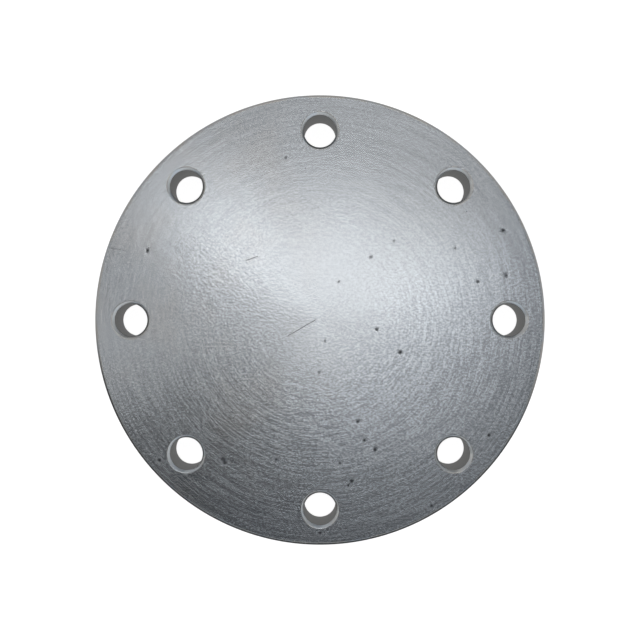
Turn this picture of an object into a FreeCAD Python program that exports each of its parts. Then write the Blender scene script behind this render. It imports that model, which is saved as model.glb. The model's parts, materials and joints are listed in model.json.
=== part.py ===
"""A blind flange: one round steel plate, turned flat on both faces, with a ring of bolt holes near its rim.

It closes the end of a pipe. The plate lies flat with its axis on Z and the centre of its back face at the
origin, so the front face looks up at Z = thickness, and the first bolt hole is on +X. All sizes are in
millimetres.
"""

import FreeCAD, Part
import math
import os

# Driving dimensions: a steel pipe flange of nominal size 125 for 10 or 16 bar.
flange_diameter = 250.0
flange_thickness = 22.0
bolt_circle_diameter = 210.0
bolt_hole_diameter = 18.0
bolt_hole_count = 8

# Corners broken at 45 degrees, measured along each leg.
rim_chamfer = 1.5
hole_chamfer = 1.5

# How far a drill's outline carries on past each face, so that it leaves no skin behind.
drill_overrun = 2.0

STEEL_DENSITY = 7.85e-6  # kg per cubic millimetre

flange_radius = flange_diameter / 2
bolt_circle_radius = bolt_circle_diameter / 2
bolt_hole_radius = bolt_hole_diameter / 2

origin = FreeCAD.Vector(0, 0, 0)
up = FreeCAD.Vector(0, 0, 1)


def turn_about_z(outline):
    """The solid that a half outline of (radius, height) points makes when it turns once about the Z axis."""
    points = [FreeCAD.Vector(radius, 0, height) for radius, height in outline]
    wire = Part.makePolygon(points + points[:1])
    return Part.Face(wire).revolve(origin, up, 360)


def turned_blank():
    """The plate as it leaves the lathe: two flat faces and a rim, with both rim corners broken."""
    return turn_about_z(
        [
            (0, 0),
            (flange_radius - rim_chamfer, 0),
            (flange_radius, rim_chamfer),
            (flange_radius, flange_thickness - rim_chamfer),
            (flange_radius - rim_chamfer, flange_thickness),
            (0, flange_thickness),
        ]
    )


def drill_outline():
    """What one bolt hole removes: a straight bore that opens out at 45 degrees at both faces."""
    mouth_radius = bolt_hole_radius + hole_chamfer + drill_overrun
    return turn_about_z(
        [
            (0, -drill_overrun),
            (mouth_radius, -drill_overrun),
            (bolt_hole_radius, hole_chamfer),
            (bolt_hole_radius, flange_thickness - hole_chamfer),
            (mouth_radius, flange_thickness + drill_overrun),
            (0, flange_thickness + drill_overrun),
        ]
    )


def bolt_hole_centres():
    """The hole centres, evenly spaced on the bolt circle from +X."""
    centres = []
    for index in range(bolt_hole_count):
        angle = 2 * math.pi * index / bolt_hole_count
        x = bolt_circle_radius * math.cos(angle)
        y = bolt_circle_radius * math.sin(angle)
        centres.append(FreeCAD.Vector(x, y, 0))
    return centres


def flange_plate():
    """The whole flange: the turned blank with its ring of bolt holes."""
    drills = []
    for centre in bolt_hole_centres():
        drill = drill_outline()
        drill.translate(centre)
        drills.append(drill)
    return turned_blank().cut(drills).Solids[0]


os.makedirs("parts", exist_ok=True)
plate = flange_plate()
plate.exportStep("parts/flange_plate.step")

box = plate.BoundBox
print("flange_plate valid:", plate.isValid(), "closed:", plate.isClosed())
print("size, mm:", round(box.XLength, 3), round(box.YLength, 3), round(box.ZLength, 3))
print("mass, kg:", round(plate.Volume * STEEL_DENSITY, 3))
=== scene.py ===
# %% [markdown]
# # A blind flange
#
# A blind flange is a thick steel disc that closes the end of a pipe. A lathe turns both faces and the rim, a
# drill makes a ring of bolt holes, and every edge is broken at 45 degrees so that it doesn't cut a hand. It
# is one piece of steel, so this lesson is about one good mesh and one good metal.
#
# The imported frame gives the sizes. Everything here is in metres, in the frame's own axes: the plate lies on
# its back with its axis on Z, and its front face looks up.

import json
import math

import bmesh
import bpy
import numpy as np
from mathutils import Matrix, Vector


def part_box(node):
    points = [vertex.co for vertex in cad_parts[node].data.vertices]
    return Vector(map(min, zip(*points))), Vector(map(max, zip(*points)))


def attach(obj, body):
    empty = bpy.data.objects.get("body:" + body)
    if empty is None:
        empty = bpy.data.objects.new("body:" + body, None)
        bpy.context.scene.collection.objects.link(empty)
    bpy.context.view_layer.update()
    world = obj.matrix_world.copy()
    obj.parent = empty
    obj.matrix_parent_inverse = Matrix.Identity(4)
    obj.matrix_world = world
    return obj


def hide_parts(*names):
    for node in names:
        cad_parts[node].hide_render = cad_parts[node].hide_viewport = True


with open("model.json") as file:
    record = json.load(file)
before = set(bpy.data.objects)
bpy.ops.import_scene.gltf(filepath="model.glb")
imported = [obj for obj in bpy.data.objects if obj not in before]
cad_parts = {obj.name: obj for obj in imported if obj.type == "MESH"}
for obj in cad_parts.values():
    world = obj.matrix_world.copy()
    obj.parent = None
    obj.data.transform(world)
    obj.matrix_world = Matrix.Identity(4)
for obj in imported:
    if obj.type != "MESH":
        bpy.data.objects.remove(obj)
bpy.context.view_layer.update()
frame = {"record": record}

# %% Sizes, read from the frame
MM = 0.001
mounts = {mount["name"]: mount for mount in frame["record"]["mounts"]}
holes = mounts["bolt_circle"]["dims"]
low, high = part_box("flange_plate")

back = low.z
front = high.z
plate_radius = (high.x - low.x) / 2
bolt_circle_radius = holes["pcd_mm"] / 2 * MM
hole_radius = holes["hole_r_mm"] * MM
hole_count = holes["count"]
corner_leg = 1.5 * MM  # each leg of the 45 degree corners
print("plate radius", plate_radius, "thickness", front - back, "holes", hole_count)

# %% [markdown]
# ## The shape
#
# A face with eight round holes is hard to cover with one tidy grid. A boolean cut would leave long thin
# triangles, and a turned face shows every one of them in its highlights. So the face is divided the way a
# gardener would lay paving: a *web* around each hole, which is a grid that runs from the round mouth of the
# hole out to that hole's eighth of the ring, and one *disc* inside the webs, whose rings shrink to the
# centre. The rim and the hole walls are outlines turned about an axis. All the patches share their edge
# points, so they weld into one closed shell.

# %% How finely each patch is divided
rim_spokes = 56  # points on the rim along one hole's share
web_sides = 28  # points down each side of a web
web_steps = 26  # rings from a hole's mouth to the edge of its web
back_web_steps = 4  # the back is flat and plain, so it needs few
back_coarseness = 8  # how much further apart the rings of the back's disc are than the front's
web_crowding = 1.3  # above 1, the rings of a web stand closer together near the hole
spokes_to_rings = 12  # spokes over rings in a band of the disc, which makes its cells nearly square
bands = 5  # each band of the disc halves the radius and the number of spokes
corner_ease = 0.5 * MM  # radius that takes the sharpness off each end of a corner
ease_steps = 3  # faces across each eased bend
corner_reach = corner_leg + 0.4 * MM  # how much of the flat face a corner and its easing take up

face_radius = plate_radius - corner_reach
mouth_radius = hole_radius + corner_reach
web_radius = bolt_circle_radius - 2 * mouth_radius
half_share = math.pi / hole_count
print("flat face radius", face_radius, "mouth radius", mouth_radius, "disc radius", web_radius)


# %% Grids of faces
def ring_quads(rows, columns):
    """Quads of a grid whose columns close into a ring: point (i, j) has the number i * columns + j, and each
    quad joins it to the next point round the ring and to the same two points in the next row."""
    row, column = np.meshgrid(np.arange(rows - 1), np.arange(columns), indexing="ij")
    after = (column + 1) % columns
    here = row * columns
    there = here + columns
    quads = np.stack([here + column, there + column, there + after, here + after], axis=-1)
    return quads.reshape(-1, 4).tolist()


def halving_triangles(outer_first, inner_first, inner_count):
    """Triangles between a ring and the next one in, which has half as many points: three for each inner
    point."""
    inner = np.arange(inner_count)
    outer = 2 * inner
    inner_after = inner_first + (inner + 1) % inner_count
    outer_after = outer_first + (outer + 2) % (2 * inner_count)
    inner = inner_first + inner
    outer = outer_first + outer
    first = np.stack([outer, outer + 1, inner], axis=-1)
    middle = np.stack([outer + 1, inner_after, inner], axis=-1)
    last = np.stack([outer + 1, outer_after, inner_after], axis=-1)
    return np.concatenate([first, middle, last]).tolist()


# %% [markdown]
# ### The web around a hole
#
# Its outer edge is walked once round in polar form: along the rim, in along one side, back along the inner
# arc and out again. Each point of that walk looks towards the hole's centre, and the mouth gets a point where
# it is seen. The grid between them is straight lines from mouth to edge, with steps that start small, because
# the mouth is where the curvature is.

# %% Web points
def web_walk():
    """(radius, angle) of the points once round one hole's share of the face, counter-clockwise from the
    rim."""
    across = np.linspace(-half_share, half_share, rim_spokes + 1)
    inwards = np.linspace(face_radius, web_radius, web_sides + 1)
    along_rim = np.full(rim_spokes, face_radius)
    along_arc = np.full(rim_spokes, web_radius)
    side = np.full(web_sides, half_share)
    radius = [along_rim, inwards[:-1], along_arc, inwards[:0:-1]]
    angle = [across[:-1], side, across[:0:-1], -side]
    return np.concatenate(radius), np.concatenate(angle)


walk_radius, walk_angle = web_walk()
web_columns = len(walk_radius)


def hole_centre(index):
    """(x, y) of one hole, counted from +X."""
    angle = 2 * half_share * index
    return bolt_circle_radius * np.array([math.cos(angle), math.sin(angle)])


def web_edge(index):
    """(x, y) of the web's outer edge: the walk, turned to this hole's angle."""
    angle = walk_angle + 2 * half_share * index
    return np.stack([walk_radius * np.cos(angle), walk_radius * np.sin(angle)], axis=-1)


def towards_edge(index):
    """Unit (x, y) directions from the hole's centre to each point of the web's outer edge."""
    offset = web_edge(index) - hole_centre(index)
    return offset / np.linalg.norm(offset, axis=1, keepdims=True)


def web_patch(index, height, steps):
    """A grid from the hole's mouth to the web's edge: mouth * (1 - t) + edge * t, where t runs from 0 to 1 as
    the share of the steps to the power web_crowding."""
    t = np.linspace(0, 1, steps + 1)[:, None, None] ** web_crowding
    mouth = hole_centre(index) + mouth_radius * towards_edge(index)
    flat = mouth * (1 - t) + web_edge(index) * t
    points = np.concatenate([flat, np.full(flat.shape[:2] + (1,), height)], axis=-1)
    return points.reshape(-1, 3), ring_quads(steps + 1, web_columns)


print("points round each hole:", web_columns)


# %% [markdown]
# ### The disc inside the webs
#
# A plain polar grid crowds its points at the centre. Here each band halves the radius and also halves the
# number of spokes, so the cells stay nearly square all the way in, and a fan of triangles closes the pole.

# %% Disc points
def disc_patch(height, coarseness=1):
    """Bands of rings: each band's outer radius is web_radius / 2**band, and it has half the spokes of the
    band outside it. One centre point closes the last."""
    points = []
    faces = []
    first = 0
    spokes = hole_count * rim_spokes
    outer = web_radius
    for band in range(bands):
        rings = max(2, spokes // (spokes_to_rings * coarseness)) + 1
        radius = np.linspace(outer, outer / 2, rings)[:-1, None]
        angle = -half_share + np.arange(spokes) * 2 * math.pi / spokes
        x = radius * np.cos(angle)
        y = radius * np.sin(angle)
        points.append(np.stack([x, y, np.full(x.shape, height)], axis=-1).reshape(-1, 3))
        faces += (np.array(ring_quads(rings - 1, spokes)) + first).tolist() if rings > 2 else []
        last_ring = first + (rings - 2) * spokes
        first += (rings - 1) * spokes
        if band < bands - 1:
            faces += halving_triangles(last_ring, first, spokes // 2)
        spokes //= 2
        outer /= 2
    spokes *= 2
    points.append(np.array([[0.0, 0.0, height]]))
    number = np.arange(spokes)
    here = last_ring + number
    after = last_ring + (number + 1) % spokes
    centre = np.full(spokes, first)
    fan = np.stack([here, after, centre], axis=-1)
    return np.concatenate(points), faces + fan.tolist()


# %% [markdown]
# ### The rim and the hole walls
#
# Both are outlines of (radius, height) carried round an axis. A machinist's 45 degree corner is flat, but
# handling rounds its two ends a little, so each bend of the outline is replaced by a short curve.

# %% Outlines
def eased(outline):
    """The outline with each inner corner replaced by a curve: the quadratic Bezier through a point on each
    leg, corner_ease * tan(half the turn) away from the corner, with the corner itself as its middle control
    point."""
    points = np.array(outline)
    t = np.linspace(0, 1, ease_steps + 1)[:, None]
    pieces = [points[:1]]
    for before, corner, after in zip(points[:-2], points[1:-1], points[2:]):
        arriving = (corner - before) / np.linalg.norm(corner - before)
        leaving = (after - corner) / np.linalg.norm(after - corner)
        turn = math.acos(np.clip(arriving @ leaving, -1, 1))
        leg = corner_ease * math.tan(turn / 2)
        start = corner - leg * arriving
        end = corner + leg * leaving
        pieces.append(start * (1 - t) ** 2 + corner * 2 * t * (1 - t) + end * t**2)
    pieces.append(points[-1:])
    return np.concatenate(pieces)


def corner_outline(wall_radius, outward):
    """From the front face round one corner, down the wall and round the other corner to the back face.
    outward is 1 for the rim, whose face lies inside it, and -1 for a hole."""
    flat_end = wall_radius - outward * corner_reach
    corner_start = wall_radius - outward * corner_leg
    return eased(
        [
            (flat_end, front),
            (corner_start, front),
            (wall_radius, front - corner_leg),
            (wall_radius, (front + back) / 2),  # splits the wall, so that its quads aren't too long
            (wall_radius, back + corner_leg),
            (corner_start, back),
            (flat_end, back),
        ]
    )


def carried_round(outline, centre, directions):
    """The outline carried round an axis: centre + radius * direction, at the outline's height."""
    flat = centre + outline[:, None, :1] * directions
    height = np.broadcast_to(outline[:, None, 1:], flat.shape[:2] + (1,))
    points = np.concatenate([flat, height], axis=-1).reshape(-1, 3)
    return points, ring_quads(len(outline), len(directions))


def rim_directions():
    """Unit (x, y) directions of all the spokes round the plate."""
    angle = -half_share + np.arange(hole_count * rim_spokes) * 2 * half_share / rim_spokes
    return np.stack([np.cos(angle), np.sin(angle)], axis=-1)


# %% [markdown]
# ### Weld the patches
#
# Each patch is put down with the number of its finish: 0 for the front face, 1 for the back, 2 for the rim,
# 3 for the corners and 4 for the drilled walls. Points that fall on each other are merged and the normals are
# made to point out of the closed shell.

# %% Collect and weld
FRONT, BACK, RIM, CORNER, WALL = range(5)
weld_distance = 0.002 * MM
all_points = []
all_faces = []
all_finishes = []


def put_down(patch, finish):
    """Adds a patch to the shell. finish is one number, or one number for each face."""
    points, faces = patch
    first = sum(len(earlier) for earlier in all_points)
    all_points.append(points)
    all_faces.extend([[number + first for number in face] for face in faces])
    all_finishes.extend(np.broadcast_to(finish, len(faces)).tolist())


def wall_finishes(outline, columns, wall_finish):
    """CORNER for the rows of faces that lie in the two corners, and wall_finish for those between them."""
    middle = (outline[:-1, 1] + outline[1:, 1]) / 2
    in_wall = (middle < front - corner_leg) & (middle > back + corner_leg)
    return np.repeat(np.where(in_wall, wall_finish, CORNER), columns)


for index in range(hole_count):
    put_down(web_patch(index, front, web_steps), FRONT)
    put_down(web_patch(index, back, back_web_steps), BACK)
    hole_outline = corner_outline(hole_radius, -1)
    put_down(
        carried_round(hole_outline, hole_centre(index), towards_edge(index)),
        wall_finishes(hole_outline, web_columns, WALL),
    )
put_down(disc_patch(front), FRONT)
put_down(disc_patch(back, back_coarseness), BACK)
rim_outline = corner_outline(plate_radius, 1)
put_down(
    carried_round(rim_outline, np.zeros(2), rim_directions()),
    wall_finishes(rim_outline, hole_count * rim_spokes, RIM),
)

mesh = bpy.data.meshes.new("flange_plate_turned")
mesh.from_pydata(np.concatenate(all_points).tolist(), [], all_faces)
mesh.polygons.foreach_set("material_index", np.array(all_finishes, np.int32))
shell = bmesh.new()
shell.from_mesh(mesh)
bmesh.ops.remove_doubles(shell, verts=shell.verts, dist=weld_distance)
bmesh.ops.recalc_face_normals(shell, faces=shell.faces)
open_edges = sum(not edge.is_manifold for edge in shell.edges)
shell_volume = shell.calc_volume()
shell.to_mesh(mesh)
shell.free()
mesh.polygons.foreach_set("use_smooth", np.ones(len(mesh.polygons), bool))
triangles = sum(len(face.vertices) - 2 for face in mesh.polygons)
volume_in_cc = shell_volume / (10 * MM) ** 3
print("triangles", triangles, "open edges", open_edges, "volume in cc", round(volume_in_cc, 1))

# %% [markdown]
# ### Pits, waviness and the centre mark
#
# The face isn't perfect. Scale and handling have left small dark pits, each a shallow round dimple one to
# three millimetres across. A cell of the mesh is nearly as wide as that, so its points are first drawn in
# towards each pit, which makes the grid fine exactly where the small shape is. Between the pits the face is
# very slightly wavy, and where the turning tool reached the centre it left a little pip.

# %% Where the pits are
# Each pit: distance from the centre in mm, angle in degrees from +X, radius in mm, depth in mm, darkness.
PITS = [
    (103, 158, 0.8, 0.05, 1.0),
    (92, 102, 0.8, 0.04, 0.6),
    (113, 26, 0.9, 0.06, 1.0),
    (106, 13.5, 0.9, 0.06, 1.0),
    (90, 13.7, 0.8, 0.05, 0.8),
    (45, 51, 0.8, 0.03, 0.4),
    (23.5, 64, 0.6, 0.03, 0.35),
    (32, -9.5, 0.8, 0.05, 0.8),
    (48, -22, 1.0, 0.07, 1.0),
    (12, -77, 0.6, 0.03, 0.4),
    (29, -91, 0.7, 0.03, 0.45),
    (60, -69.5, 0.9, 0.06, 0.9),
    (71, -69.7, 0.9, 0.06, 0.9),
    (78, -67, 1.0, 0.07, 1.0),
    (93.9, -124.7, 1.5, 0.04, 1.0),
    (95.0, -123.6, 1.4, 0.04, 1.0),
    (81, -107.5, 0.9, 0.03, 0.9),
    (80, -82, 0.9, 0.03, 0.9),
    (91, -79, 1.2, 0.04, 1.0),
    (93, -80.3, 0.9, 0.03, 0.9),
    (118, -139, 1.2, 0.03, 1.0),
    (120, -59, 1.0, 0.03, 0.9),
    (118, -90, 1.0, 0.03, 1.0),
    (113.3, -34.3, 1.0, 0.03, 1.0),
    (85, 28, 0.6, 0.03, 0.4),
    (60, 47, 0.6, 0.03, 0.4),
]
DRAW_REACH = 5.5 * MM  # how far round a pit the grid is drawn in
DRAW_POWER = 2.4  # above 1, and the higher, the finer the grid gets in the pit


def gap_to_mouths(flat):
    """How far each (x, y) is from the mouth of its nearest hole, less than 0 inside one."""
    to_centres = [np.hypot(*(flat - hole_centre(index)).T) for index in range(hole_count)]
    return np.min(to_centres, axis=0) - mouth_radius


points = np.empty(len(mesh.vertices) * 3)
mesh.vertices.foreach_get("co", points)
points = points.reshape(-1, 3)
inside_rim = np.hypot(points[:, 0], points[:, 1]) < face_radius
outside_mouths = gap_to_mouths(points[:, :2]) > 0
on_front = (points[:, 2] > front - weld_distance / 2) & inside_rim & outside_mouths


def pit_place(distance, angle):
    """(x, y) in metres of a pit given by its distance in mm and its angle in degrees."""
    turn = math.radians(angle)
    return distance * MM * np.array([math.cos(turn), math.sin(turn)])


def room_round(place):
    """How far the grid can be drawn in round this pit without reaching the rim's corner, a hole's mouth or
    the next pit."""
    to_rim = face_radius - np.hypot(*place)
    to_next_pit = np.sort(np.hypot(*(pit_places - place).T))[1]
    return min(DRAW_REACH, to_rim, gap_to_mouths(place), to_next_pit)


def draw_in(flat, place, reach):
    """Points within reach of a place move towards it: distance d becomes reach * (d / reach) ** power."""
    offset = flat - place
    distance = np.hypot(offset[:, 0], offset[:, 1])
    share = np.clip(distance / reach, 1e-9, 1)
    scale = np.where(distance < reach, share ** (DRAW_POWER - 1), 1.0)
    return place + offset * scale[:, None]


pit_places = np.array([pit_place(distance, angle) for distance, angle, *_ in PITS])
flat = points[on_front, :2]
for place in pit_places:
    flat = draw_in(flat, place, room_round(place))
print("pits:", len(PITS), "points on the front face:", len(flat))


# %% Press the pits and the waviness into the face
def pit_share(flat, place, radius):
    """1 in the middle of a pit, falling to 0 by about 1.5 radii: exp(-(d / radius) ** 4), with d the
    distance."""
    distance = np.hypot(*(flat - place).T)
    return np.exp(-((distance / radius) ** 4))


def waviness(flat, shortest, longest, count, seed):
    """A sum of count sine waves in scattered directions, with wavelengths between shortest and longest,
    scaled so that its usual size is 1."""
    scatter = np.random.default_rng(seed)
    angle = scatter.uniform(0, 2 * math.pi, count)
    length = scatter.uniform(shortest, longest, count)
    phase = scatter.uniform(0, 2 * math.pi, count)
    x, y = flat.T
    across = x[:, None] * np.cos(angle) + y[:, None] * np.sin(angle)
    return np.sin(2 * math.pi * across / length + phase).sum(axis=1) / math.sqrt(count / 2)


def smooth_step(value):
    """0 below 0, 1 above 1, and 3 v**2 - 2 v**3 between them."""
    value = np.clip(value, 0, 1)
    return value * value * (3 - 2 * value)


wave_height = 0.004 * MM
shortest_wave = 8 * MM
longest_wave = 25 * MM
wave_count = 40
pip_height = 0.08 * MM
pip_radius = 0.8 * MM
fade_width = 3 * MM  # the waviness dies out over this width before it meets a corner

from_middle = np.hypot(*flat.T)
fade = smooth_step(np.minimum(face_radius - from_middle, gap_to_mouths(flat)) / fade_width)
height = wave_height * waviness(flat, shortest_wave, longest_wave, wave_count, seed=11) * fade
height += pip_height * np.exp(-((from_middle / pip_radius) ** 2))
shade = np.zeros(len(flat))
for place, (_, _, radius, depth, darkness) in zip(pit_places, PITS):
    share = pit_share(flat, place, radius * MM)
    height -= depth * MM * share
    shade = np.maximum(shade, darkness * share)
pit_shade = np.zeros(len(points))
pit_shade[on_front] = shade
points[on_front, :2] = flat
points[on_front, 2] += height
points[:, 2] = np.minimum(points[:, 2], front)  # nothing stands above the plate's own box
mesh.vertices.foreach_set("co", points.ravel())
mesh.attributes.new("pit_shade", "FLOAT", "POINT").data.foreach_set("value", pit_shade)
mesh.update()

plate = bpy.data.objects.new("flange_plate_turned", mesh)
bpy.context.scene.collection.objects.link(plate)
print("deepest point below the face, mm:", round((front - points[on_front, 2].min()) / MM, 3))

# %% [markdown]
# ## The metal
#
# Turned steel shines in a special way. The tool leaves fine grooves that run round the centre, so the surface
# is much rougher across the grooves, along the radius, than it is along them. A lamp is then drawn out into a
# fan that points at the centre. The shader has a setting for this, called anisotropy, and a Tangent node in
# its radial mode tells it which way is round.
#
# The small variations come from node groups, so that the face, the rim, the corners and the walls can share
# them and each use its own amounts.

# %% Node helpers
def put(tree, kind, inputs=None, **settings):
    """A new node. inputs maps a socket's name or number to a value, or to an output socket to link from."""
    node = tree.nodes.new(kind)
    for name, value in settings.items():
        setattr(node, name, value)
    for key, value in (inputs or {}).items():
        if isinstance(value, bpy.types.NodeSocket):
            tree.links.new(value, node.inputs[key])
        else:
            node.inputs[key].default_value = value
    return node


def maths(tree, operation, *values, clamp=False):
    """The output socket of a Math node."""
    node = put(tree, "ShaderNodeMath", dict(enumerate(values)), operation=operation, use_clamp=clamp)
    return node.outputs[0]


def vectors(tree, operation, *values):
    """The output node of a Vector Math node."""
    return put(tree, "ShaderNodeVectorMath", dict(enumerate(values)), operation=operation)


def ramp(tree, value, from_low, from_high, to_low=0.0, to_high=1.0):
    """A Map Range node's result: a smooth change from to_low to to_high as value goes from from_low to
    from_high."""
    node = put(
        tree,
        "ShaderNodeMapRange",
        {"Value": value, "From Min": from_low, "From Max": from_high, "To Min": to_low, "To Max": to_high},
        interpolation_type="SMOOTHSTEP",
    )
    return node.outputs["Result"]


def new_group(name, inputs, outputs):
    """An empty shader group. inputs maps each name to a default number, and outputs lists names of values."""
    group = bpy.data.node_groups.new(name, "ShaderNodeTree")
    for socket_name, value in inputs.items():
        kind = "NodeSocketVector" if isinstance(value, tuple) else "NodeSocketFloat"
        socket = group.interface.new_socket(socket_name, in_out="INPUT", socket_type=kind)
        socket.default_value = value
    for socket_name in outputs:
        group.interface.new_socket(socket_name, in_out="OUTPUT", socket_type="NodeSocketFloat")
    return group, group.nodes.new("NodeGroupInput").outputs, group.nodes.new("NodeGroupOutput").inputs


def use_group(tree, group, **inputs):
    """The output sockets of a group placed in a tree. An underscore in a name stands for a space."""
    node = tree.nodes.new("ShaderNodeGroup")
    node.node_tree = group
    for name, value in inputs.items():
        socket = node.inputs[name.replace("_", " ")]
        if isinstance(value, bpy.types.NodeSocket):
            tree.links.new(value, socket)
        else:
            socket.default_value = value
    return node.outputs


def place_in_mm(tree):
    """Object coordinates in millimetres, so that noise scales are in waves per millimetre."""
    place = put(tree, "ShaderNodeTexCoord").outputs["Object"]
    scaled = vectors(tree, "SCALE", place)
    scaled.inputs["Scale"].default_value = 1 / MM
    return scaled.outputs[0]


# %% [markdown]
# ### Turning marks
#
# A groove pattern has to change fast along the radius and slowly round the circle. Noise is read at a made-up
# place: the unit direction from the centre, stretched, gives its first two coordinates, and the radius plus
# the height, divided by the width of a mark, gives the third. Going once round comes back to the same place,
# so there is no seam, and the height gives the rim its grooves. Near the centre the marks would become too
# short, so they fade out towards it.

# %% Turning marks group
MARKS_START = 5.0  # mm from the centre, where the marks begin
MARKS_FULL = 55.0  # mm, where they reach their full strength


def turning_marks_group():
    """Height is noise around 0.5, drawn out round the axis. Place and Mark Width are in mm."""
    group, given, result = new_group(
        "turning_marks", {"Place": (0.0, 0.0, 0.0), "Mark Width": 1.0, "Marks Round": 12.0}, ["Height"]
    )
    split = put(group, "ShaderNodeSeparateXYZ", {0: given["Place"]}).outputs
    flat_place = put(group, "ShaderNodeCombineXYZ", {"X": split["X"], "Y": split["Y"]}).outputs[0]
    radius = vectors(group, "LENGTH", flat_place).outputs["Value"]
    direction = vectors(group, "NORMALIZE", flat_place).outputs[0]
    stretched = vectors(group, "SCALE", direction)
    group.links.new(given["Marks Round"], stretched.inputs["Scale"])
    depth = maths(group, "ADD", radius, split["Z"])
    along = put(group, "ShaderNodeCombineXYZ", {"Z": maths(group, "DIVIDE", depth, given["Mark Width"])})
    where = vectors(group, "ADD", stretched.outputs[0], along.outputs[0]).outputs[0]
    noise = put(group, "ShaderNodeTexNoise", {"Vector": where, "Scale": 1.0, "Detail": 2.0, "Roughness": 0.6})
    away_from_centre = ramp(group, radius, MARKS_START, MARKS_FULL)
    around_zero = maths(group, "SUBTRACT", noise.outputs["Fac"], 0.5)
    group.links.new(maths(group, "MULTIPLY_ADD", around_zero, away_from_centre, 0.5), result["Height"])
    return group


# %% [markdown]
# ### Grain, pinholes, score lines and stains
#
# Under the grooves the steel has a leathery grain, one to two millimetres across. Pinholes are the many pits
# too small to press into the mesh: a Voronoi pattern gives one spot per cell, and each cell's own random
# colour decides whether its spot shows. A score line is the distance to a straight stretch between two
# points, and a stain is wherever a slow noise is above a threshold.

# %% Grain group
def grain_group():
    """Height is plain noise around 0.5, with lumps about Size mm wide."""
    group, given, result = new_group("grain", {"Place": (0.0, 0.0, 0.0), "Size": 1.5}, ["Height"])
    scale = maths(group, "DIVIDE", 1.0, given["Size"])
    noise = put(group, "ShaderNodeTexNoise", {"Vector": given["Place"], "Scale": scale, "Detail": 1.5})
    group.links.new(noise.outputs["Fac"], result["Height"])
    return group


# %% Pinholes group
def pinholes_group():
    """Mask is 1 in the middle of a spot of this Radius and 0 outside it. Share is how many cells have one."""
    group, given, result = new_group(
        "pinholes", {"Place": (0.0, 0.0, 0.0), "Spacing": 6.0, "Radius": 0.4, "Share": 0.3}, ["Mask"]
    )
    scale = maths(group, "DIVIDE", 1.0, given["Spacing"])
    cells = put(group, "ShaderNodeTexVoronoi", {"Vector": given["Place"], "Scale": scale})
    reach = maths(group, "MULTIPLY", cells.outputs["Distance"], given["Spacing"])
    spot = ramp(group, reach, given["Radius"], 0.0)
    chance = put(group, "ShaderNodeSeparateColor", {0: cells.outputs["Color"]}).outputs["Red"]
    shows = maths(group, "LESS_THAN", chance, given["Share"])
    group.links.new(maths(group, "MULTIPLY", spot, shows), result["Mask"])
    return group


# %% Score line group
def score_line_group():
    """Mask is 1 on the stretch from Start to End, falling to 0 at Width mm from it."""
    group, given, result = new_group(
        "score_line",
        {"Place": (0.0, 0.0, 0.0), "Start": (0.0, 0.0, 0.0), "End": (1.0, 0.0, 0.0), "Width": 0.3},
        ["Mask"],
    )
    split = put(group, "ShaderNodeSeparateXYZ", {0: given["Place"]}).outputs
    flat_place = put(group, "ShaderNodeCombineXYZ", {"X": split["X"], "Y": split["Y"]}).outputs[0]
    line = vectors(group, "SUBTRACT", given["End"], given["Start"]).outputs[0]
    offset = vectors(group, "SUBTRACT", flat_place, given["Start"]).outputs[0]
    along = vectors(group, "DOT_PRODUCT", offset, line).outputs["Value"]
    whole = vectors(group, "DOT_PRODUCT", line, line).outputs["Value"]
    share = maths(group, "DIVIDE", along, whole, clamp=True)
    foot = vectors(group, "SCALE", line)
    group.links.new(share, foot.inputs["Scale"])
    gap = vectors(group, "DISTANCE", offset, foot.outputs[0]).outputs["Value"]
    group.links.new(ramp(group, gap, given["Width"], 0.0), result["Mask"])
    return group


# %% Stains group
def stains_group():
    """Mask goes from 0 to 1 as noise with lumps of Size mm passes the Threshold, over twice the Softness."""
    group, given, result = new_group(
        "stains", {"Place": (0.0, 0.0, 0.0), "Size": 30.0, "Threshold": 0.5, "Softness": 0.15}, ["Mask"]
    )
    scale = maths(group, "DIVIDE", 1.0, given["Size"])
    noise = put(group, "ShaderNodeTexNoise", {"Vector": given["Place"], "Scale": scale, "Detail": 5.0})
    low_edge = maths(group, "SUBTRACT", given["Threshold"], given["Softness"])
    high_edge = maths(group, "ADD", given["Threshold"], given["Softness"])
    group.links.new(ramp(group, noise.outputs["Fac"], low_edge, high_edge), result["Mask"])
    return group


turning_marks = turning_marks_group()
grain = grain_group()
pinholes = pinholes_group()
score_line = score_line_group()
stains = stains_group()
print("node groups:", sorted(group.name for group in bpy.data.node_groups))


# %% [markdown]
# ### The steels
#
# One piece of steel ends up with several looks, because its surfaces were cut and handled in different ways.
# All of them are the same metal shader, with other amounts of the groups above in its colour, its roughness
# and its bump. A real groove's height and its tone go together, so the same noise feeds both.

# %% Helpers for the steels, and their colours
def new_steel(name, roughness, anisotropy):
    """A metal Principled shader. The roughness is only for a viewer that doesn't read the patterns. The
    anisotropy is turned a quarter, so that the wide lobe lies across the grooves."""
    material = bpy.data.materials.new(name)
    material.use_nodes = True
    tree = material.node_tree
    shader = tree.nodes["Principled BSDF"]
    shader.inputs["Metallic"].default_value = 1.0
    shader.inputs["Roughness"].default_value = roughness
    if anisotropy:
        shader.inputs["Anisotropic"].default_value = anisotropy
        shader.inputs["Anisotropic Rotation"].default_value = 0.25
        tangent = put(tree, "ShaderNodeTangent", direction_type="RADIAL", axis="Z")
        tree.links.new(tangent.outputs[0], shader.inputs["Tangent"])
    return material, tree, shader


def blend_colours(tree, share, first, second):
    """The colour output of a Mix node: first where share is 0, second where it is 1."""
    node = put(tree, "ShaderNodeMix", data_type="RGBA")
    sockets = {"Factor": node.inputs[0], "A": node.inputs[6], "B": node.inputs[7]}
    for key, value in {"Factor": share, "A": first, "B": second}.items():
        if isinstance(value, bpy.types.NodeSocket):
            tree.links.new(value, sockets[key])
        else:
            sockets[key].default_value = value
    return node.outputs[2]


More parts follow.
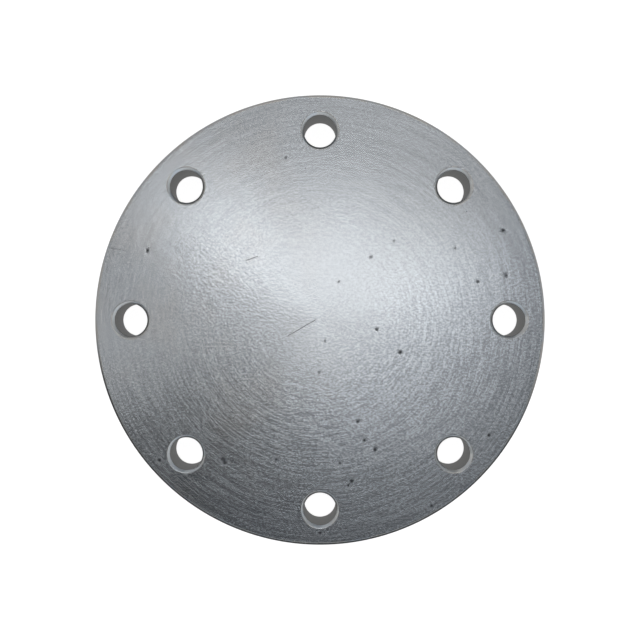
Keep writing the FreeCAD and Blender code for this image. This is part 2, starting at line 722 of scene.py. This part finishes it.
def bump(tree, height, distance):
    """The normal output of a Bump node, where a height of 1 stands for distance in metres."""
    node = put(tree, "ShaderNodeBump", {"Height": height, "Distance": distance, "Strength": 1.0})
    return node.outputs["Normal"]


DARK_STEEL = (0.40, 0.42, 0.445, 1.0)
PALE_STEEL = (0.67, 0.703, 0.733, 1.0)
STEEL = (0.535, 0.561, 0.587, 1.0)
BARE_STEEL = (0.56, 0.55, 0.53, 1.0)
WARM_STAIN = (0.56, 0.54, 0.52, 1.0)
PIT_DARK = (0.08, 0.08, 0.085, 1.0)
DARK_WALL = (0.44, 0.44, 0.435, 1.0)
PALE_WALL = (0.56, 0.56, 0.55, 1.0)


# %% [markdown]
# ### The turned faces
#
# The tool's marks aren't equally plain all over: they are strong on one side of the face and worn smooth on
# the other, and a patch between them shows the steel's leathery grain. Warm stains lie on one side, and the
# steel turns a little blue on the other. Each of these is a slow ramp across the face that turns a pattern up
# or down.

# %% Turned face
# Where a fade is named, it gives two places in mm, and the amount changes smoothly between them.
FACE_ANISOTROPY = 0.56
FACE_ROUGHNESS = 0.206  # the least, to which the next two are added
ROUGHER_MARKS = 0.06  # added where the marks stand high
ROUGHER_PITS = 0.3  # added in pits and scores
FLECK_SHAPE = (0.6, 1.0, 1.0)  # less than 1 draws the flecks out along that axis
WORN_SIDE = (-0.35, 1.0, 0.0)  # the marks are worn smooth in this direction
WORN_FADE = (30.0, -45.0)  # along it
WORN_CONTRAST = 0.3  # how much of the marks is left there
CENTRE_FADE = (25.0, 65.0)  # out from the centre
CENTRE_CONTRAST = 0.6
EDGE_CONTRAST = 1.05
MARKS_FADE = (-30.0, 50.0)  # along X
MARKS_LEFT = 1.15  # how high the marks stand at -X
MARKS_RIGHT = 0.65
WARM_FADE = (20.0, -40.0)  # along X
WARM_SHARE = 0.3
COOL_FADE = (0.0, 90.0)  # along X less Y
COOL_TINT = (0.98, 0.995, 1.02)
SCORE_DARKNESS = 0.45
RAGGED = (1.2, 0.5)  # a pit's dark is multiplied by the grain times the first, plus the second
LEATHER_CENTRE = (-48.0, 16.0, 22.0)  # mm, the middle of the patch where the grain stands out most
LEATHER_FADE = (25.0, 50.0)  # out from it
LEATHER_IN_PATCH = 0.65
LEATHER_ELSEWHERE = 0.17
RELIEF = 0.05 * MM  # the bump's height on the faces and the rim

# Straight marks left by handling: (x, y, 0) of each end, and how far the mark reaches to each side, in mm.
SCORE_LINES = [
    ((-17.4, -8.6, 0.0), (-2.9, -0.1, 0.0), 0.45),
    ((-116.0, 39.9, 0.0), (-109.0, 38.7, 0.0), 0.4),
    ((-41.0, 33.0, 0.0), (-34.5, 35.3, 0.0), 0.4),
]


def pits_and_scores(tree, place, leather, dark):
    """The dark mask with the pressed pits, which the grain makes ragged, and the score lines added to it."""
    shade = put(tree, "ShaderNodeAttribute", attribute_name="pit_shade").outputs["Fac"]
    ragged = maths(tree, "MULTIPLY_ADD", leather, *RAGGED)
    dark = maths(tree, "MAXIMUM", dark, maths(tree, "MULTIPLY", shade, ragged, clamp=True))
    for start, end, width in SCORE_LINES:
        line = use_group(tree, score_line, Place=place, Start=start, End=end, Width=width)["Mask"]
        dark = maths(tree, "MAXIMUM", dark, maths(tree, "MULTIPLY", line, SCORE_DARKNESS))
    return dark


def marks_contrast(tree, place):
    """How plain the marks are here: faint on the worn side and in the middle, and strong elsewhere."""
    towards_worn = vectors(tree, "DOT_PRODUCT", place, WORN_SIDE).outputs["Value"]
    from_centre = vectors(tree, "LENGTH", place).outputs["Value"]
    by_side = ramp(tree, towards_worn, *WORN_FADE, WORN_CONTRAST, 1.0)
    by_radius = ramp(tree, from_centre, *CENTRE_FADE, CENTRE_CONTRAST, EDGE_CONTRAST)
    return maths(tree, "MULTIPLY", by_side, by_radius)


def face_colour(tree, place, flecks, streaks, contrast, dark):
    """Dark to pale steel by the marks, then the warm stains, the cool side, and the pits on top."""
    split = put(tree, "ShaderNodeSeparateXYZ", {0: place}).outputs
    # Noise seldom strays far from 0.5, so the narrow range that it fills is stretched over the tones.
    fleck_share = ramp(tree, flecks, 0.38, 0.62, -0.36, 0.36)
    streak_share = ramp(tree, streaks, 0.4, 0.6, -0.3, 0.3)
    both = maths(tree, "ADD", fleck_share, streak_share)
    tone = blend_colours(tree, maths(tree, "MULTIPLY_ADD", both, contrast, 0.5), DARK_STEEL, PALE_STEEL)
    stained = use_group(tree, stains, Place=place, Size=34.0, Threshold=0.58, Softness=0.16)["Mask"]
    warm = maths(tree, "MULTIPLY", stained, ramp(tree, split["X"], *WARM_FADE, 0.0, WARM_SHARE))
    tone = blend_colours(tree, warm, tone, WARM_STAIN)
    cool_side = maths(tree, "SUBTRACT", split["X"], split["Y"])
    tinted = vectors(tree, "MULTIPLY", tone, COOL_TINT).outputs[0]
    tone = blend_colours(tree, ramp(tree, cool_side, *COOL_FADE), tone, tinted)
    return blend_colours(tree, dark, tone, PIT_DARK)


def face_relief(tree, place, flecks, streaks, leather, contrast, specks):
    """The bump's height: the marks, stronger towards -X, with the leathery patch, less the pinholes."""
    x = put(tree, "ShaderNodeSeparateXYZ", {0: place}).outputs["X"]
    marks = maths(tree, "MULTIPLY_ADD", flecks, 0.4, maths(tree, "MULTIPLY", streaks, 0.7))
    marks = maths(tree, "MULTIPLY", marks, ramp(tree, x, *MARKS_FADE, MARKS_LEFT, MARKS_RIGHT))
    from_patch = vectors(tree, "DISTANCE", place, LEATHER_CENTRE).outputs["Value"]
    plainness = ramp(tree, from_patch, *LEATHER_FADE, LEATHER_IN_PATCH, LEATHER_ELSEWHERE)
    leathery = maths(tree, "MULTIPLY", leather, plainness)
    relief = maths(tree, "MULTIPLY_ADD", marks, contrast, leathery)
    return maths(tree, "SUBTRACT", relief, specks)


def turned_face(name, with_marks):
    """The front or back face: grooves, grain, stains, pinholes and, on the front, the pits and score
    lines."""
    material, tree, shader = new_steel(name, 0.23, FACE_ANISOTROPY)
    place = place_in_mm(tree)
    fine = use_group(tree, turning_marks, Place=place, Mark_Width=0.6, Marks_Round=4.0)["Height"]
    broad = use_group(tree, turning_marks, Place=place, Mark_Width=1.5, Marks_Round=5.0)["Height"]
    streaks = maths(tree, "MULTIPLY_ADD", broad, 0.4, maths(tree, "MULTIPLY", fine, 0.6))
    drawn_out = vectors(tree, "MULTIPLY", place, FLECK_SHAPE).outputs[0]
    flecks = use_group(tree, grain, Place=drawn_out, Size=0.95)["Height"]
    leather = use_group(tree, grain, Place=place, Size=1.5)["Height"]
    specks = use_group(tree, pinholes, Place=place, Spacing=9.0, Radius=0.45, Share=0.25)["Mask"]
    dark = pits_and_scores(tree, place, leather, specks) if with_marks else specks
    contrast = marks_contrast(tree, place)
    colour = face_colour(tree, place, flecks, streaks, contrast, dark)
    rough = maths(tree, "MULTIPLY_ADD", fine, ROUGHER_MARKS, FACE_ROUGHNESS)
    rough = maths(tree, "ADD", rough, maths(tree, "MULTIPLY", dark, ROUGHER_PITS))
    relief = face_relief(tree, place, flecks, streaks, leather, contrast, specks)
    tree.links.new(colour, shader.inputs["Base Color"])
    tree.links.new(rough, shader.inputs["Roughness"])
    tree.links.new(bump(tree, relief, RELIEF), shader.inputs["Normal"])
    return material


# %% [markdown]
# ### The rim, the corners and the hole walls
#
# The rim is turned too, with grooves that run round it, but it is a little rougher than the faces. The
# corners are cut in one light pass and then rubbed bright by hands and benches, so they have no direction of
# their own. A drill leaves faint rings down a hole and a duller surface.

# %% Rim, corners and hole walls
RIM_ANISOTROPY = 0.5
RIM_ROUGHNESS = 0.3  # the least, and the grain adds to it
CORNER_ROUGHNESS = 0.2
WALL_ROUGHNESS = 0.4
GRAIN_ROUGHNESS = 0.1  # how much the grain adds at most
CORNER_RELIEF = 0.06 * MM
WALL_RELIEF = 0.04 * MM


def turned_rim():
    """Grooves that run round the rim, a little rougher than the face, with a few pinholes."""
    material, tree, shader = new_steel("turned_rim", 0.34, RIM_ANISOTROPY)
    place = place_in_mm(tree)
    fine = use_group(tree, turning_marks, Place=place, Mark_Width=0.5, Marks_Round=30.0)["Height"]
    leather = use_group(tree, grain, Place=place, Size=1.6)["Height"]
    specks = use_group(tree, pinholes, Place=place, Spacing=8.0, Radius=0.45, Share=0.2)["Mask"]
    tone = blend_colours(tree, ramp(tree, fine, 0.2, 0.8), DARK_STEEL, PALE_STEEL)
    tree.links.new(blend_colours(tree, specks, tone, PIT_DARK), shader.inputs["Base Color"])
    rough = maths(tree, "MULTIPLY_ADD", leather, GRAIN_ROUGHNESS, RIM_ROUGHNESS)
    tree.links.new(rough, shader.inputs["Roughness"])
    relief = maths(tree, "ADD", maths(tree, "MULTIPLY", fine, 0.7), leather)
    tree.links.new(bump(tree, relief, RELIEF), shader.inputs["Normal"])
    return material


def broken_corner():
    """Plain steel that changes to a warmer bare steel in patches."""
    material, tree, shader = new_steel("broken_corner", 0.25, 0.0)
    place = place_in_mm(tree)
    leather = use_group(tree, grain, Place=place, Size=1.8)["Height"]
    rubbed = use_group(tree, stains, Place=place, Size=9.0, Threshold=0.45, Softness=0.15)["Mask"]
    tree.links.new(blend_colours(tree, rubbed, STEEL, BARE_STEEL), shader.inputs["Base Color"])
    rough = maths(tree, "MULTIPLY_ADD", leather, GRAIN_ROUGHNESS, CORNER_ROUGHNESS)
    tree.links.new(rough, shader.inputs["Roughness"])
    tree.links.new(bump(tree, leather, CORNER_RELIEF), shader.inputs["Normal"])
    return material


def drilled_wall():
    """A dull surface with faint rings down its length."""
    material, tree, shader = new_steel("drilled_wall", 0.45, 0.0)
    place = place_in_mm(tree)
    leather = use_group(tree, grain, Place=place, Size=1.2)["Height"]
    split = put(tree, "ShaderNodeSeparateXYZ", {0: place}).outputs
    down = {"W": split["Z"], "Scale": 2.5, "Detail": 1.0}
    rings = put(tree, "ShaderNodeTexNoise", down, noise_dimensions="1D")
    tree.links.new(blend_colours(tree, leather, DARK_WALL, PALE_WALL), shader.inputs["Base Color"])
    rough = maths(tree, "MULTIPLY_ADD", leather, GRAIN_ROUGHNESS, WALL_ROUGHNESS)
    tree.links.new(rough, shader.inputs["Roughness"])
    relief = maths(tree, "ADD", leather, rings.outputs["Fac"])
    tree.links.new(bump(tree, relief, WALL_RELIEF), shader.inputs["Normal"])
    return material


# The order is that of the finish numbers: front, back, rim, corner, wall.
for material in (
    turned_face("turned_front", True),
    turned_face("turned_back", False),
    turned_rim(),
    broken_corner(),
    drilled_wall(),
):
    mesh.materials.append(material)
print("materials:", [material.name for material in mesh.materials])

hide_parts("flange_plate")
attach(plate, "root")

# %% [markdown]
# ## The studio
#
# The plate lies on a light table inside a white tent. The camera sees only clean white behind the plate and
# through its holes. What the metal reflects is more varied: the table's dim glow, a white card and a black
# card round the plate, the tent's walls, and lamps overhead. It is that variety which shows the metal's
# shape. The cards draw the rim: its corner is bright along one side of the plate and dark along the other.
#
# The table is one square with a shader that answers a camera ray in one way and any other ray in another, so
# the cards need no geometry and never get in the camera's way.

# %% The light table
WHITE = (1.0, 1.0, 1.0, 1.0)
TABLE_HALF = 6.0  # half the table's side, wide enough to fill every view
TABLE_GAP = 0.2 * MM  # keeps the table just clear of the plate's back face
SEEN_GLOW = 0.96  # what the camera sees of the table's own light, where 1 is white
TABLE_BOARD = (0.3, 0.3, 0.3, 1.0)  # its matt top, which adds some of the light that falls on it
TABLE_GLOW = 0.27  # what the metal sees of the table
CARD_INNER = 0.165  # two cards, seen only by the metal, lie round the plate from this radius in metres
CARD_OUTER = 0.4
WHITE_CARD = 0.48
BLACK_CARD = 0.0
WHITE_DIRECTION = (0.09, 1.0, 0.0)  # the white card is on this side and the black card opposite
BLACK_ENDS = -0.09  # metres along that direction
WHITE_STARTS = -0.01

floor_mesh = bpy.data.meshes.new("floor")
table_corners = [(x * TABLE_HALF, y * TABLE_HALF, back) for x, y in ((-1, -1), (1, -1), (1, 1), (-1, 1))]
floor_mesh.from_pydata(table_corners, [], [(0, 1, 2, 3)])
floor = bpy.data.objects.new("floor", floor_mesh)
floor.location.z = -TABLE_GAP
bpy.context.scene.collection.objects.link(floor)

light_table = bpy.data.materials.new("light_table")
light_table.use_nodes = True
tree = light_table.node_tree
tree.nodes.clear()
glow = put(tree, "ShaderNodeEmission", {"Color": WHITE, "Strength": SEEN_GLOW}).outputs[0]
board = put(tree, "ShaderNodeBsdfDiffuse", {"Color": TABLE_BOARD}).outputs[0]
seen = put(tree, "ShaderNodeAddShader", {0: glow, 1: board}).outputs[0]
place = put(tree, "ShaderNodeTexCoord").outputs["Object"]
forward = vectors(tree, "DOT_PRODUCT", place, WHITE_DIRECTION).outputs["Value"]
cards = ramp(tree, forward, BLACK_ENDS, WHITE_STARTS, BLACK_CARD, WHITE_CARD)
radius = vectors(tree, "LENGTH", place).outputs["Value"]
past_inner = maths(tree, "GREATER_THAN", radius, CARD_INNER)
before_outer = maths(tree, "LESS_THAN", radius, CARD_OUTER)
on_cards = maths(tree, "MULTIPLY", past_inner, before_outer)
extra = maths(tree, "SUBTRACT", cards, TABLE_GLOW)
glow_level = maths(tree, "MULTIPLY_ADD", extra, on_cards, TABLE_GLOW)
reflected = put(tree, "ShaderNodeEmission", {"Color": WHITE, "Strength": glow_level}).outputs[0]
from_camera = put(tree, "ShaderNodeLightPath").outputs["Is Camera Ray"]
surface = put(tree, "ShaderNodeMixShader", {0: from_camera, 1: reflected, 2: seen}).outputs[0]
put(tree, "ShaderNodeOutputMaterial", {"Surface": surface})
floor_mesh.materials.append(light_table)
print("table side, m:", 2 * TABLE_HALF, "cards from", CARD_INNER, "to", CARD_OUTER)

# %% [markdown]
# ### The tent
#
# The tent is far away, so only the direction matters. Its walls glow up to a soft edge and are brighter on
# one side. Each lamp is a round patch of light: inside it, the angle between the direction and the lamp's
# centre is less than its radius, and its edge is soft.

# %% The tent and its lamps
WALL_GLOW = 0.53
WALL_SLOPE = 0.33  # how much brighter the walls are on their bright side, and darker on the other
WALL_BRIGHT_SIDE = 301  # azimuth in degrees
WALL_TOP = 46  # elevation in degrees of the middle of the walls' soft upper edge
WALL_SOFTNESS = 29  # half the height of that edge in degrees
ROOF_GLOW = 0.003
TENT_COLOUR = (0.93, 1.0, 1.07, 1.0)  # a little blue, as daylight through cloth

# Each: azimuth and elevation, radius, half the width of the soft edge (all in degrees), brightness.
LAMPS = {
    "key": (79, 86, 3.0, 1.5, 4.6),
    "left_key": (138, 81, 3.0, 1.5, 4.3),
    "right_key": (20, 81, 3.4, 1.7, 2.2),
    "right_fill": (-20, 85, 7.9, 1.5, 0.7),
    "left_fill": (190, 74, 4.6, 2.4, 0.9),
    "left_panel": (144, 27, 48.7, 2.0, 0.34),
    "back_panel": (74, 49, 24.8, 2.0, 0.8),
}


def direction_to(azimuth, elevation):
    """The unit vector (cos e cos a, cos e sin a, sin e)."""
    a, e = math.radians(azimuth), math.radians(elevation)
    return (math.cos(e) * math.cos(a), math.cos(e) * math.sin(a), math.sin(e))


world = bpy.data.worlds.new("light_tent")
bpy.context.scene.world = world
world.use_nodes = True
tree = world.node_tree
tree.nodes.clear()
direction = put(tree, "ShaderNodeTexCoord").outputs["Generated"]
upward = put(tree, "ShaderNodeSeparateXYZ", {0: direction}).outputs["Z"]
elevation = maths(tree, "DEGREES", maths(tree, "ARCSINE", upward))
flattened = vectors(tree, "MULTIPLY", direction, (1, 1, 0)).outputs[0]
flat_direction = vectors(tree, "NORMALIZE", flattened).outputs[0]
sideways = vectors(tree, "DOT_PRODUCT", flat_direction, direction_to(WALL_BRIGHT_SIDE, 0)).outputs["Value"]
wall = maths(tree, "MULTIPLY_ADD", sideways, WALL_SLOPE, WALL_GLOW)
wall_share = ramp(tree, elevation, WALL_TOP + WALL_SOFTNESS, WALL_TOP - WALL_SOFTNESS)
tent_light = maths(tree, "MULTIPLY_ADD", wall, wall_share, ROOF_GLOW)
lamp_light = 0.0
for azimuth, height, radius, softness, brightness in LAMPS.values():
    nearness = vectors(tree, "DOT_PRODUCT", direction, direction_to(azimuth, height)).outputs["Value"]
    angle = maths(tree, "DEGREES", maths(tree, "ARCCOSINE", nearness))
    patch = ramp(tree, angle, radius + softness, radius - softness, 0.0, brightness)
    lamp_light = maths(tree, "ADD", lamp_light, patch)
cloth = put(tree, "ShaderNodeBackground", {"Color": TENT_COLOUR, "Strength": tent_light}).outputs[0]
lamps = put(tree, "ShaderNodeBackground", {"Color": WHITE, "Strength": lamp_light}).outputs[0]
tent = put(tree, "ShaderNodeAddShader", {0: cloth, 1: lamps}).outputs[0]
backdrop = put(tree, "ShaderNodeBackground", {"Color": WHITE, "Strength": 1.0}).outputs[0]
from_camera = put(tree, "ShaderNodeLightPath").outputs["Is Camera Ray"]
surface = put(tree, "ShaderNodeMixShader", {0: from_camera, 1: tent, 2: backdrop}).outputs[0]
put(tree, "ShaderNodeOutputWorld", {"Surface": surface})
print("lamps:", list(LAMPS))

# %% [markdown]
# ### The camera
#
# It hangs straight above the plate's centre and looks down its axis, close enough that the far rims of the
# holes show behind the near ones. The lens is worked out from how much of the frame the plate fills: the
# outline that the camera sees is the widest part of the rim, just below the front corner.

# %% Camera
CAMERA_HEIGHT = 0.4355  # metres above the front face
SENSOR = 36.0  # mm
OUTLINE_SHARE = 0.7026  # the plate's diameter over the frame's width

camera_data = bpy.data.cameras.new("camera")
camera_data.sensor_width = SENSOR
camera_data.lens = SENSOR * OUTLINE_SHARE * (CAMERA_HEIGHT + corner_leg) / (2 * plate_radius)
camera = bpy.data.objects.new("camera", camera_data)
camera.location = (0, 0, front + CAMERA_HEIGHT)
bpy.context.scene.collection.objects.link(camera)
bpy.context.scene.camera = camera
bpy.context.scene.view_settings.view_transform = "Standard"
print("lens, mm:", round(camera_data.lens, 2))
